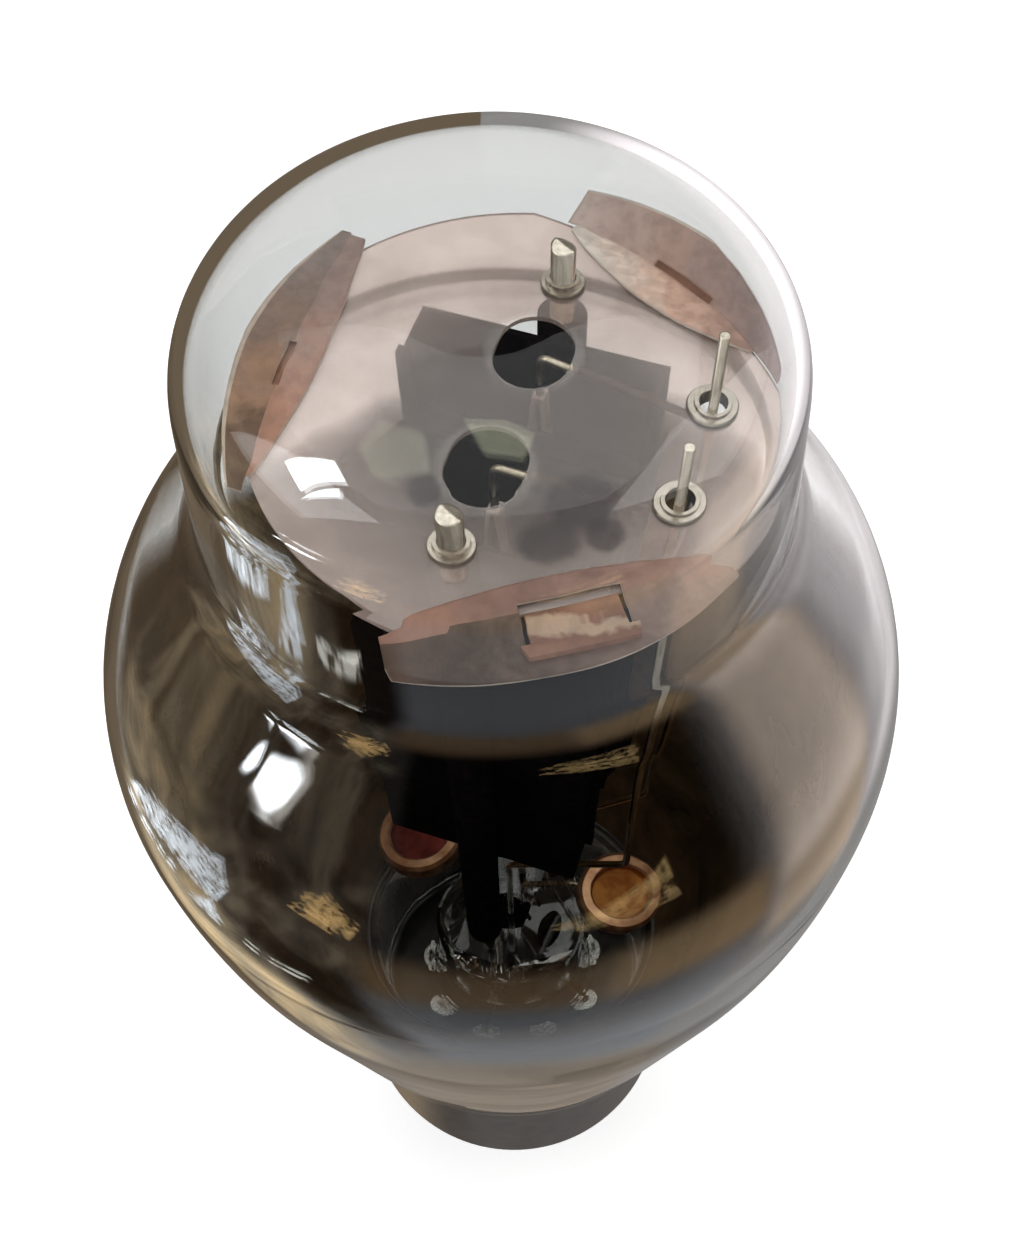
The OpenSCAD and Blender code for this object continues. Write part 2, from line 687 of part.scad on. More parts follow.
// A pin closed with solder, with a narrower shank through the floor and a cup for its lead in the head
module pin(k) {
    tip = 0.4;
    color([0.78, 0.76, 0.72])
        rotate(pin_az(k)) translate([pin_circle / 2, 0, 0])
            difference() {
                union() {
                    translate([0, 0, -pin_l]) cylinder(r1 = pin_r - tip, r2 = pin_r, h = tip, $fn = 32);
                    translate([0, 0, tip - pin_l]) cylinder(r = pin_r, h = pin_l - tip - slip, $fn = 32);
                    translate([0, 0, -1]) cylinder(r = shank_r, h = floor_t + 1, $fn = 32);
                    translate([0, 0, floor_t]) cylinder(r = pin_r + 0.5, h = pin_head_h, $fn = 32);
                }
                translate([0, 0, pin_cup_z]) cylinder(r = pin_bore_r, h = floor_t, $fn = 24);
            }
}
module pin_1() { pin(1); }
module pin_2() { pin(2); }
module pin_3() { pin(3); }
module pin_4() { pin(4); }
module pin_5() { pin(5); }
module pin_6() { pin(6); }
module pin_7() { pin(7); }
module pin_8() { pin(8); }

// A lead from a seal in the press to the cup of pin k
module stem_lead(x, k) {
    foot = [cos(mount_turn) * x, sin(mount_turn) * x];
    hole = [cos(pin_az(k)) * pin_circle / 2, sin(pin_az(k)) * pin_circle / 2];
    color([0.75, 0.5, 0.32])
        wire([
            [foot[0], foot[1], weld_z - joint_gap],
            [foot[0], foot[1], seal_z + 6],
            [hole[0], hole[1], floor_t + 2],
            [hole[0], hole[1], pin_cup_z + 2 * joint_gap]
        ], wire_d, 1.5, 12, 4);
}
module lead_plate_front() { stem_lead(-rod_foot, 8); }
module lead_plate_back() { stem_lead(rod_foot, 4); }
module lead_filament_left() { stem_lead(-lead_foot, 6); }
module lead_filament_right() { stem_lead(lead_foot, 2); }

glass_envelope();
glass_stem();
mica_disc();
mica_bumper_left();
mica_bumper_right();
mica_bumper_front();
plate_rod_front();
plate_rod_back();
filament_post_front();
filament_post_back();
rod_eyelet_front();
rod_eyelet_back();
post_eyelet_front();
post_eyelet_back();
plate_front();
plate_back();
filament_front();
filament_rear();
filament_hook_front();
filament_hook_back();
filament_lead_left();
filament_lead_right();
getter_cup_left();
getter_cup_right();
getter_support_left();
getter_support_right();
base_shell();
base_cement();
lead_plate_front();
lead_plate_back();
lead_filament_left();
lead_filament_right();
pin_1();
pin_2();
pin_3();
pin_4();
pin_5();
pin_6();
pin_7();
pin_8();
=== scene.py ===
import math
import bpy
from mathutils import Matrix, Vector, geometry, noise


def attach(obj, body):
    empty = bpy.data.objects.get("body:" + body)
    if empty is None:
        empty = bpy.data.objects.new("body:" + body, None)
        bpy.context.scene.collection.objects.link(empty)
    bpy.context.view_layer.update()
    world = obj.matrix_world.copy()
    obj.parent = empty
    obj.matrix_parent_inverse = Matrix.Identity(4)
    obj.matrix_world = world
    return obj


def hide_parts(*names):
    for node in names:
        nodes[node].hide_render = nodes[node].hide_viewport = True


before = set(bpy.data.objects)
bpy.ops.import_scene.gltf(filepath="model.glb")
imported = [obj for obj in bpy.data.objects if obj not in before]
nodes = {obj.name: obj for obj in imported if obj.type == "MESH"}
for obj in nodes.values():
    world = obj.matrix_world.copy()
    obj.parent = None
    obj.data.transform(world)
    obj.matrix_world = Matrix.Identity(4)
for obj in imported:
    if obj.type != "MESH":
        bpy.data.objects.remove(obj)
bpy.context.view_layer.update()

MM = 0.001

# Sizes repeated from the CAD source, in millimetres
BULB_TOP = 114.0
MICA_Z = 105.0
MICA_T = 0.3
FOLD_R = 12.3
MOUNT_DX = 1.0
MOUNT_TURN = math.radians(69.4)
ROD_AT = 8.95
POST_AT, POST_SIDE = 3.2, 9.8
WINDOW_AT = 3.85
ROD_D, POST_D, HOOK_D, LEAD_D = 1.38, 0.55, 0.48, 0.6
STEM_X, STEM_Y = -0.352, 0.936
PRESS_Z = 34.0
ROD_FOOT, LEAD_FOOT, POST_FOOT, CUP_FOOT = 5.6, 3.5, 1.8, 1.5
CUP_AT, CUP_Z, CUP_LEAN = 9.4, 43.0, math.radians(10)
FLOOR_Z = -14.3

# Sizes that are finer or a little other here than in the CAD source, in millimetres
GLASS_T = 0.75
DISC_X, DISC_R = 1.2, 14.05
BULB_LINE = (  # radius, height, rounding
    (0, BULB_TOP, 0), (7.7, BULB_TOP, 55), (15.4, 112.6, 6.5), (16.6, 98.6, 8), (26, 85.6, 24), (26, 71, 110),
    (19.4, 31, 8), (14.8, 23.6, 2), (14.8, 9, 0))
FILM_LOW, FILM_TOP, FILM_END = 25.0, 78.0, 90.0
FILM_GAP = 0.03


def mount(u, v, z):
    """A point of the mount's frame, in the row's frame, in millimetres."""
    c, s = math.cos(MOUNT_TURN), math.sin(MOUNT_TURN)
    return Vector((MOUNT_DX + u * c - v * s, u * s + v * c, z))


# Lines with rounded corners
def fillet(a, b, c, r, n):
    u, w = (a - b).normalized(), (c - b).normalized()
    half = u.angle(w) / 2
    if r <= 0 or half > math.radians(89.5):
        return [b.copy()]
    t = min(r / math.tan(half), 0.49 * (a - b).length, 0.49 * (c - b).length)
    rr = t * math.tan(half)
    m = b + (u + w).normalized() * (rr / math.sin(half))
    s, e = (b + u * t - m).normalized(), (b + w * t - m).normalized()
    turn = s.angle(e)
    return [m + rr * (s * math.sin(turn * (n - i) / n) + e * math.sin(turn * i / n)) / math.sin(turn)
            for i in range(n + 1)]


def rounded(points, radii, n):
    p = [Vector(q) for q in points]
    out = [p[0]]
    for i in range(1, len(p) - 1):
        out += fillet(p[i - 1], p[i], p[i + 1], radii[i], n)
    return out + [p[-1]]


def resample(points, step):
    out = [points[0]]
    for a, b in zip(points, points[1:]):
        k = max(1, int((b - a).length / step))
        out += [a.lerp(b, (i + 1) / k) for i in range(k)]
    return out


def moved_in(points, t):
    """The line of (r, z) points moved t towards the tube's axis side."""
    out = []
    for i, p in enumerate(points):
        d = (points[min(i + 1, len(points) - 1)] - points[max(i - 1, 0)]).normalized()
        out.append(p + Vector((d.y, -d.x)) * t)
    return out


# Meshes
def new_mesh(name, verts, faces, material, smooth=True, replaces=()):
    me = bpy.data.meshes.new(name)
    me.from_pydata([tuple(v * MM for v in q) for q in verts], [], faces)
    me.validate()
    me.update()
    if smooth:
        me.shade_smooth()
    ob = bpy.data.objects.new(name, me)
    bpy.context.scene.collection.objects.link(ob)
    me.materials.append(material)
    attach(ob, "root")
    if replaces:
        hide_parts(*replaces)
    return ob


def revolve(line, segs, wave=None):
    """Vertices and faces of an open or closed line of (r, z) turned about the axis."""
    verts, faces, rings = [], [], []
    for p in line:
        if p[0] < 1e-6:
            rings.append([len(verts)] * segs)
            verts.append((0.0, 0.0, p[1]))
            continue
        ring = []
        for i in range(segs):
            a = 2 * math.pi * i / segs
            r = p[0] + (wave(a, p[1]) if wave else 0.0)
            ring.append(len(verts))
            verts.append((r * math.cos(a), r * math.sin(a), p[1]))
        rings.append(ring)
    for a, b in zip(rings, rings[1:]):
        for i in range(segs):
            j = (i + 1) % segs
            f = [a[i], b[i], b[j], a[j]]
            g = [q for n, q in enumerate(f) if q not in f[:n]]
            if len(g) > 2:
                faces.append(g)
    return verts, faces


def sweep(points, d, sides=24, cuts=()):
    """Vertices and faces of a round wire of diameter d; each cut is a height over the end and a plane's normal."""
    p = [Vector(q) for q in points]
    n = len(p)
    verts, faces = [], []
    side = Vector((1, 0, 0))
    for i in range(n):
        t = (p[min(i + 1, n - 1)] - p[max(i - 1, 0)]).normalized()
        side = (side - side.dot(t) * t).normalized()
        other = t.cross(side)
        for k in range(sides):
            a = 2 * math.pi * k / sides
            verts.append(p[i] + (side * math.cos(a) + other * math.sin(a)) * (d / 2))
    for i in range(n - 1):
        for k in range(sides):
            q = (k + 1) % sides
            faces.append([i * sides + k, i * sides + q, (i + 1) * sides + q, (i + 1) * sides + k])
    faces.append([k for k in reversed(range(sides))])

    def lifted(q):
        drop = [h - (q - p[-1]).dot(nn) / nn.z for h, nn in cuts]
        return Vector((q.x, q.y, p[-1].z + min(drop))) if cuts else q

    rings = 5
    top = (n - 1) * sides
    rim = [verts[top + k] for k in range(sides)]
    for k in range(sides):
        verts[top + k] = lifted(rim[k])
    last = [top + k for k in range(sides)]
    for m in range(1, rings):
        ring = []
        for k in range(sides):
            ring.append(len(verts))
            verts.append(lifted(p[-1].lerp(rim[k], 1 - m / rings)))
        for k in range(sides):
            q = (k + 1) % sides
            faces.append([last[k], last[q], ring[q], ring[k]])
        last = ring
    verts.append(lifted(p[-1]))
    for k in range(sides):
        faces.append([last[k], last[(k + 1) % sides], len(verts) - 1])
    return verts, faces


# Materials
def mat(name, color=(0.8, 0.8, 0.8), metallic=0.0, rough=0.5, **extra):
    m = bpy.data.materials.new(name)
    m.use_nodes = True
    b = m.node_tree.nodes["Principled BSDF"]
    b.inputs["Base Color"].default_value = (*color, 1)
    b.inputs["Metallic"].default_value = metallic
    b.inputs["Roughness"].default_value = rough
    for k, v in extra.items():
        b.inputs[k.replace("_", " ")].default_value = v
    return m, m.node_tree, b


def link(nt, a, b):
    nt.links.new(a, b)


def coords(nt, scale=(1, 1, 1), turn=0.0, loc=(0, 0, 0)):
    """Object coordinates in millimetres, turned about Z."""
    tc = nt.nodes.new("ShaderNodeTexCoord")
    mp = nt.nodes.new("ShaderNodeMapping")
    mp.vector_type = "POINT"
    mp.inputs["Scale"].default_value = tuple(1000 * s for s in scale)
    mp.inputs["Rotation"].default_value = (0, 0, turn)
    mp.inputs["Location"].default_value = loc
    link(nt, tc.outputs["Object"], mp.inputs["Vector"])
    return mp.outputs["Vector"]


def noise_tex(nt, vec, scale, detail=3.0, rough=0.5, distortion=0.0):
    n = nt.nodes.new("ShaderNodeTexNoise")
    n.inputs["Scale"].default_value = scale
    n.inputs["Detail"].default_value = detail
    n.inputs["Roughness"].default_value = rough
    n.inputs["Distortion"].default_value = distortion
    link(nt, vec, n.inputs["Vector"])
    return n.outputs["Fac"]


def ramp(nt, fac, stops, interp="LINEAR"):
    r = nt.nodes.new("ShaderNodeValToRGB")
    r.color_ramp.interpolation = interp
    e = r.color_ramp.elements
    while len(e) < len(stops):
        e.new(0.5)
    for k, (pos, col) in enumerate(stops):
        e[k].position = pos
        e[k].color = (*col, 1) if len(col) == 3 else col
    link(nt, fac, r.inputs["Fac"])
    return r.outputs["Color"]


def grey(*stops):
    return [(p, (v, v, v)) for p, v in stops]


def math_node(nt, op, a, b=None, c=None, clamp=False):
    n = nt.nodes.new("ShaderNodeMath")
    n.operation = op
    n.use_clamp = clamp
    for k, v in enumerate((a, b, c)):
        if v is None:
            continue
        if isinstance(v, (int, float)):
            n.inputs[k].default_value = v
        else:
            link(nt, v, n.inputs[k])
    return n.outputs[0]


def mix_color(nt, fac, a, b, mode="MIX"):
    n = nt.nodes.new("ShaderNodeMix")
    n.data_type = "RGBA"
    n.blend_type = mode
    for sock, v in ((n.inputs[0], fac), (n.inputs[6], a), (n.inputs[7], b)):
        if isinstance(v, (int, float)):
            sock.default_value = v
        elif isinstance(v, tuple):
            sock.default_value = (*v, 1)
        else:
            link(nt, v, sock)
    return n.outputs[2]


def bump(nt, height, strength, distance, bsdf):
    n = nt.nodes.new("ShaderNodeBump")
    n.inputs["Strength"].default_value = strength
    n.inputs["Distance"].default_value = distance
    link(nt, height, n.inputs["Height"])
    link(nt, n.outputs["Normal"], bsdf.inputs["Normal"])


def xyz(nt, vec):
    n = nt.nodes.new("ShaderNodeSeparateXYZ")
    link(nt, vec, n.inputs[0])
    return n.outputs


def distance(nt, vec, place):
    n = nt.nodes.new("ShaderNodeVectorMath")
    n.operation = "DISTANCE"
    n.inputs[1].default_value = place
    link(nt, vec, n.inputs[0])
    return n.outputs["Value"]


# Clear blown glass
glass, nt, b = mat("clear_glass", (0.81, 0.82, 0.815), 0.0, 0.0, Transmission_Weight=1.0, IOR=1.5)
bump(nt, noise_tex(nt, coords(nt), 0.045, 2.0), 0.25, 0.0006, b)

stem_glass, nt, b = mat("stem_glass", (0.86, 0.87, 0.86), 0.0, 0.0, Transmission_Weight=1.0, IOR=1.5)


# Metal film on the inside of the bulb: silvery towards the glass, brown towards the mount
def thinned(nt, v, b):
    """Let the film fade out at its ragged upper edge."""
    c = xyz(nt, v)
    front = math_node(nt, "MULTIPLY_ADD", c[1], -0.06, FILM_TOP)
    left = math_node(nt, "MULTIPLY_ADD", c[0], 0.12, front)
    side = math_node(nt, "POWER", math_node(nt, "MULTIPLY", math_node(nt, "MINIMUM", c[0], 0.0), -1 / 26.0), 4.0)
    side = math_node(nt, "MULTIPLY_ADD", side, 9.0, left)
    ragged = math_node(nt, "MULTIPLY_ADD", noise_tex(nt, v, 0.11, 3.0), 5.0, side)
    depth = math_node(nt, "SUBTRACT", ragged, c[2])
    link(nt, math_node(nt, "DIVIDE", depth, 5.0, clamp=True), b.inputs["Alpha"])


film_out, nt, b = mat("film_outside", (0.5, 0.47, 0.44), 1.0, 0.22)
v = coords(nt)
z = xyz(nt, v)[2]
cloud = noise_tex(nt, v, 0.12, 4.0, 0.6)
col = ramp(nt, math_node(nt, "DIVIDE", z, 100.0), [
    (0.22, (0.10, 0.075, 0.06)), (0.27, (0.36, 0.31, 0.27)), (0.40, (0.50, 0.45, 0.41)),
    (0.62, (0.36, 0.35, 0.35)), (0.74, (0.18, 0.19, 0.21)), (0.83, (0.12, 0.10, 0.085))])
col = mix_color(nt, math_node(nt, "MULTIPLY", cloud, 0.35), col, (0.30, 0.27, 0.25))
# Paler towards the right: a painted reflection of the bright surroundings on that side of the film
painted_right_reflection = math_node(nt, "MULTIPLY_ADD", xyz(nt, v)[0], 1 / 14.0, -0.45, clamp=True)
link(nt, mix_color(nt, painted_right_reflection, col, (0.62, 0.57, 0.57)), b.inputs["Base Color"])
thinned(nt, v, b)

film_in, nt, b = mat("film_inside", (0.08, 0.05, 0.03), 0.5, 0.26)
v = coords(nt)
cloud = noise_tex(nt, v, 0.10, 5.0, 0.6, 0.4)
rings = noise_tex(nt, coords(nt, (0.02, 0.02, 1.2)), 0.6, 2.0)
col = ramp(nt, cloud, [(0.30, (0.10, 0.052, 0.020)), (0.50, (0.26, 0.15, 0.062)), (0.68, (0.50, 0.32, 0.14))])
link(nt, mix_color(nt, math_node(nt, "MULTIPLY", rings, 0.4), col, (0.03, 0.02, 0.012)), b.inputs["Base Color"])
thinned(nt, v, b)


# Mica: pinkish, glossy, mostly clear, with dark patches of painted shade and reflection and a pale rim round each
# window
def near_point(nt, v, place, size):
    """1 at a place, fading to 0 at the distance size, with a ragged edge."""
    d = math_node(nt, "DIVIDE", distance(nt, v, place), size)
    d = math_node(nt, "ADD", d, math_node(nt, "MULTIPLY_ADD", noise_tex(nt, v, 0.5, 3.0), 0.8, -0.4))
    return ramp(nt, d, grey((0.62, 1), (0.95, 0)))


mica, nt, b = mat("mica_sheet", (0.9, 0.7, 0.6), 0.0, 0.06, IOR=1.5, Transmission_Weight=0.90)
v = coords(nt)
col = ramp(nt, noise_tex(nt, v, 0.22, 5.0, 0.6, 0.3), [(0.36, (0.86, 0.71, 0.65)), (0.62, (1.0, 0.85, 0.79))])
spread = math_node(nt, "DIVIDE", distance(nt, v, (1.5, -1.0, MICA_Z)), 16.0)
zone = ramp(nt, spread, grey((0.30, 0.72), (0.55, 1.0)))
link(nt, ramp(nt, spread, grey((0.42, 0.94), (0.78, 0.78))), b.inputs["Transmission Weight"])
col = mix_color(nt, 1.0, col, zone, "MULTIPLY")
# Painted shade: dark patches where a shadow and a dark reflection fall on the front of the sheet
for (x, y), size in (((4.2, -6.1), 2.0), ((-3.3, -4.8), 1.1), ((2.6, -8.3), 1.8), ((5.2, -8.0), 1.2)):
    painted_dark_patch = near_point(nt, v, (x, y, MICA_Z), size)
    col = mix_color(nt, math_node(nt, "MULTIPLY", painted_dark_patch, 0.75), col, (0.20, 0.15, 0.15))
for k in (-1, 1):
    ring = distance(nt, v, mount(k * WINDOW_AT, 0, MICA_Z))
    rim = ramp(nt, math_node(nt, "DIVIDE", ring, 4.0), grey((0.60, 1), (0.70, 0)))
    col = mix_color(nt, rim, col, (1.0, 0.90, 0.84))
link(nt, col, b.inputs["Base Color"])


def leaf_material(name, axis, lo, hi, stops, clear, rough=0.3, scale=0.5):
    """Leaf colour by place along one axis between lo and hi, broken up by blotches."""
    m, nt, b = mat(name, stops[0][1], 0.0, rough, IOR=1.5, Transmission_Weight=clear)
    v = coords(nt)
    n1 = noise_tex(nt, v, scale, 5.0, 0.6, 0.3)
    along = math_node(nt, "MULTIPLY_ADD", xyz(nt, v)[axis], 1.0 / (hi - lo), -lo / (hi - lo))
    along = math_node(nt, "ADD", along, math_node(nt, "MULTIPLY_ADD", n1, 0.5, -0.25))
    col = ramp(nt, along, stops)
    shade = ramp(nt, noise_tex(nt, v, scale * 2.2, 4.0, 0.6), grey((0.36, 0.78), (0.58, 1.0)))
    link(nt, mix_color(nt, 1.0, col, shade, "MULTIPLY"), b.inputs["Base Color"])
    bump(nt, noise_tex(nt, v, 1.3, 3.0, 0.5, 0.5), 0.35, 0.0003, b)
    return m


# Inner and outer halves of each leaf: the inner halves are painted lighter than the outer ones, a painted sheen of
# the light on the upturned mica
leaf_mats = {
    "left": (leaf_material("leaf_left_inner", 1, -8, 12, [
                 (0.15, (0.66, 0.34, 0.22)), (0.45, (0.78, 0.42, 0.29)), (0.80, (0.58, 0.42, 0.37))], 0.30),
             leaf_material("leaf_left_outer", 1, -8, 12, [
                 (0.10, (0.16, 0.085, 0.045)), (0.36, (0.26, 0.14, 0.075)), (0.50, (0.62, 0.36, 0.22)),
                 (0.72, (0.42, 0.29, 0.23)), (0.90, (0.46, 0.36, 0.32))], 0.30)),
    # The right inner half is painted near white and opaque, lightest at its left end: a painted reflection of the
    # window light
    "right": (leaf_material("leaf_right_inner", 0, 3, 15, [
                  (0.10, (1.0, 0.93, 0.84)), (0.38, (1.0, 0.80, 0.68)), (0.55, (0.92, 0.58, 0.44)),
                  (0.85, (0.62, 0.40, 0.32))], 0.0, 0.35, 0.45),
              leaf_material("leaf_right_outer", 0, 3, 15, [
                  (0.05, (1.0, 0.84, 0.76)), (0.30, (0.84, 0.62, 0.54)), (0.60, (0.70, 0.45, 0.36)),
                  (0.90, (0.52, 0.36, 0.33))], 0.15)),
    "front": (leaf_material("leaf_front_inner", 0, -6, 12, [
                  (0.10, (0.62, 0.33, 0.24)), (0.45, (0.46, 0.27, 0.22)), (0.80, (0.66, 0.40, 0.32))], 0.30),
              leaf_material("leaf_front_outer", 0, -6, 12, [
                  (0.05, (0.20, 0.12, 0.08)), (0.30, (0.10, 0.06, 0.035)), (0.50, (0.34, 0.22, 0.17)),
                  (0.85, (0.62, 0.42, 0.34))], 0.30))}
# Painted highlight: the outer rims and cut sides of the leaves are pale, a painted glint of light on the mica's edges
leaf_edge_glint = leaf_material("leaf_edge_glint", 0, -15, 15, [(0.0, (0.80, 0.66, 0.54)), (1.0, (0.95, 0.84, 0.74))], 0.0)
tongue_mat = leaf_material("mica_tongue", 1, -16, -12, [
    (0.40, (0.52, 0.27, 0.18)), (0.64, (0.40, 0.19, 0.12)), (0.70, (0.86, 0.62, 0.44)),
    (0.78, (0.86, 0.62, 0.44)), (0.84, (0.40, 0.19, 0.12)), (1.0, (0.56, 0.30, 0.20))], 0.2)


# Metals
def metal(name, color, rough, grain=6.0, dark=0.75):
    m, nt, b = mat(name, color, 1.0, rough)
    v = coords(nt, (1, 1, 0.15))
    n1 = noise_tex(nt, v, grain, 3.0)
    link(nt, ramp(nt, n1, [(0.3, tuple(c * dark for c in color)), (0.7, color)]), b.inputs["Base Color"])
    link(nt, ramp(nt, n1, grey((0.3, rough * 0.7), (0.7, rough * 1.4))), b.inputs["Roughness"])
    return m


nickel = metal("nickel_wire", (0.86, 0.79, 0.68), 0.17, 4.0)
eyelet_metal = metal("eyelet_nickel", (0.60, 0.55, 0.48), 0.18, 2.5, 0.8)
hook_metal = metal("hook_wire", (0.86, 0.78, 0.60), 0.25)

# The hook arms keep their pale metal colour where they cross a window, and elsewhere are painted dark as painted
# shade under the mica
arm_metal, nt, b = mat("hook_arm", (0.5, 0.45, 0.38), 1.0, 0.32)
v = coords(nt)
in_window = math_node(nt, "MAXIMUM", *(
    math_node(nt, "LESS_THAN", distance(nt, v, mount(k * WINDOW_AT, 0, MICA_Z - 1.4)), 2.05) for k in (-1, 1)))
tone = ramp(nt, noise_tex(nt, v, 3.0, 3.0), [(0.3, (0.46, 0.40, 0.30)), (0.7, (0.66, 0.60, 0.48))])
link(nt, mix_color(nt, in_window, (0.07, 0.045, 0.035), tone), b.inputs["Base Color"])
lead_metal = metal("lead_wire", (0.80, 0.55, 0.34), 0.3)
pin_metal = metal("pin_plating", (0.75, 0.74, 0.71), 0.25, 2.0)
ribbon_metal, nt, b = mat("ribbon_coat", (0.80, 0.77, 0.70), 0.0, 0.7)
v = coords(nt)
n1 = noise_tex(nt, v, 4.0, 3.0)
link(nt, ramp(nt, n1, [(0.3, (0.66, 0.62, 0.55)), (0.7, (0.85, 0.82, 0.76))]), b.inputs["Base Color"])

plate_black, nt, b = mat("plate_black", (0.012, 0.012, 0.013), 0.0, 0.6, Specular_IOR_Level=0.0)
v = coords(nt)
n1 = noise_tex(nt, v, 1.2, 4.0)
link(nt, ramp(nt, n1, [(0.3, (0.002, 0.002, 0.002)), (0.7, (0.009, 0.005, 0.005))]), b.inputs["Base Color"])
link(nt, ramp(nt, n1, grey((0.3, 0.5), (0.7, 0.75))), b.inputs["Roughness"])


def cup_material(name, side, floor_low, floor_high):
    """Copper rim, and a floor of its own colour inside it; side is 1 for the left cup and -1 for the right one."""
    m, nt, b = mat(name, (0.75, 0.40, 0.20), 0.8, 0.3)
    v = coords(nt)
    n1 = noise_tex(nt, v, 0.8, 4.0)
    ring = ramp(nt, n1, [(0.3, (0.42, 0.19, 0.09)), (0.7, (0.85, 0.52, 0.30))])
    floor_col = ramp(nt, n1, [(0.35, floor_low), (0.65, floor_high)])
    inside = math_node(nt, "LESS_THAN", distance(nt, v, mount(0, side * CUP_AT, CUP_Z)), 2.75)
    link(nt, mix_color(nt, inside, ring, floor_col), b.inputs["Base Color"])
    link(nt, math_node(nt, "MULTIPLY_ADD", inside, 0.25, 0.28), b.inputs["Roughness"])
    return m


cup_left = cup_material("cup_left", 1, (0.16, 0.025, 0.02), (0.30, 0.06, 0.045))
cup_right = cup_material("cup_right", -1, (0.50, 0.16, 0.03), (0.80, 0.34, 0.08))

base_resin, nt, b = mat("base_resin", (0.05, 0.035, 0.03), 0.0, 0.32)
v = coords(nt)
n1 = noise_tex(nt, v, 0.5, 4.0)
link(nt, ramp(nt, n1, [(0.3, (0.030, 0.021, 0.017)), (0.7, (0.075, 0.056, 0.047))]), b.inputs["Base Color"])

cement_mat, nt, b = mat("basing_cement", (0.5, 0.45, 0.38), 0.0, 0.85)
v = coords(nt)
n1 = noise_tex(nt, v, 2.0, 4.0)
link(nt, ramp(nt, n1, [(0.3, (0.36, 0.31, 0.25)), (0.7, (0.55, 0.50, 0.42))]), b.inputs["Base Color"])


# Each CAD node takes the finish of the first name here that its own name starts with
FINISHES = (
    ("glass_stem", stem_glass), ("plate_rod", nickel), ("filament_post", nickel), ("rod_eyelet", eyelet_metal),
    ("post_eyelet", eyelet_metal), ("plate_", plate_black), ("filament_front", ribbon_metal),
    ("filament_rear", ribbon_metal), ("filament_", hook_metal), ("getter_support", hook_metal),
    ("getter_cup_left", cup_left), ("getter_cup_right", cup_right), ("base_shell", base_resin),
    ("base_cement", cement_mat), ("lead_", lead_metal), ("pin_", pin_metal))
for name, node in nodes.items():
    for start, finish in FINISHES:
        if name.startswith(start):
            node.data.materials.clear()
            node.data.materials.append(finish)
            break


# The bulb, finer than the CAD solid and a little narrower at the dome
BULB_SEGS, LINE_STEP = 192, 0.8
outer = resample(rounded([q[:2] for q in BULB_LINE], [q[2] for q in BULB_LINE], 14), LINE_STEP)
inner = moved_in(outer, GLASS_T)
inner[0] = Vector((0.0, BULB_TOP - GLASS_T))


def wave(a, z):
    """The slight unevenness of blown glass."""
    return 0.05 * noise.noise(Vector((2.0 * math.cos(a), 2.0 * math.sin(a), z * 0.06)))


v1, f1 = revolve(outer + list(reversed(inner)), BULB_SEGS, wave)
bulb = new_mesh("bulb_glass", v1, f1, glass, replaces=("glass_envelope",))


# The metal film: one face towards the glass and one towards the mount
film_lines = [[p for p in moved_in(outer, GLASS_T + k * FILM_GAP) if FILM_LOW <= p.y <= FILM_END] for k in (1, 2)]
v2, f2 = revolve(film_lines[0], BULB_SEGS, wave)
v3, f3 = revolve(list(reversed(film_lines[1])), BULB_SEGS, wave)
off = len(v2)
film = new_mesh("getter_film", v2 + v3, f2 + [[q + off for q in f] for f in f3], film_out)
film.data.materials.append(film_in)
for poly in film.data.polygons:
    if poly.index >= len(f2):
        poly.material_index = 1


# The folded mica leaves: wrinkled sheets of two halves that meet at the fold, with a slot for the tongue
LEAF_T = 0.16
LEAVES = {
    "left": dict(turn=164, up=5, droop=0, curve=0.006, inner=(-9.6, 7.6, 1.8, 0.5, 0.1),
                 outer=(-9.8, 8.6, 2.7, 0.2, 0.35), slot=(0, 3.0, 0.15, 0.3), rim=2, seed=1.0),
    "right": dict(turn=42, up=40, droop=0, curve=0.02, inner=(-6.3, 6.7, 2.5, 0.1, 0.2),
                  outer=(-8.8, 7.2, 2.7, 0.4, 0.75), slot=(-0.4, 4.0, 0.2, 0.36), rim=1, seed=4.0),
    "front": dict(turn=-78, up=-12, droop=-20, curve=0.006, inner=(-9.3, 7.4, 1.75, 0.2, 0.1),
                  outer=(-9.3, 7.5, 2.85, 0.7, 0.1), slot=(-0.35, 5.0, 0.45, 1.25), rim=0, seed=9.0)}


def half_width(b, ends):
    """Width at b of a half leaf: full in the middle, a share of it at each end."""
    b0, b1, w, share0, share1 = ends
    if not b0 <= b <= b1:
        return 0.0
    t = (b - (b0 + b1) / 2) / ((b1 - b0) / 2)
    return w * (1 - (1 - (share0 if t < 0 else share1)) * t * t)


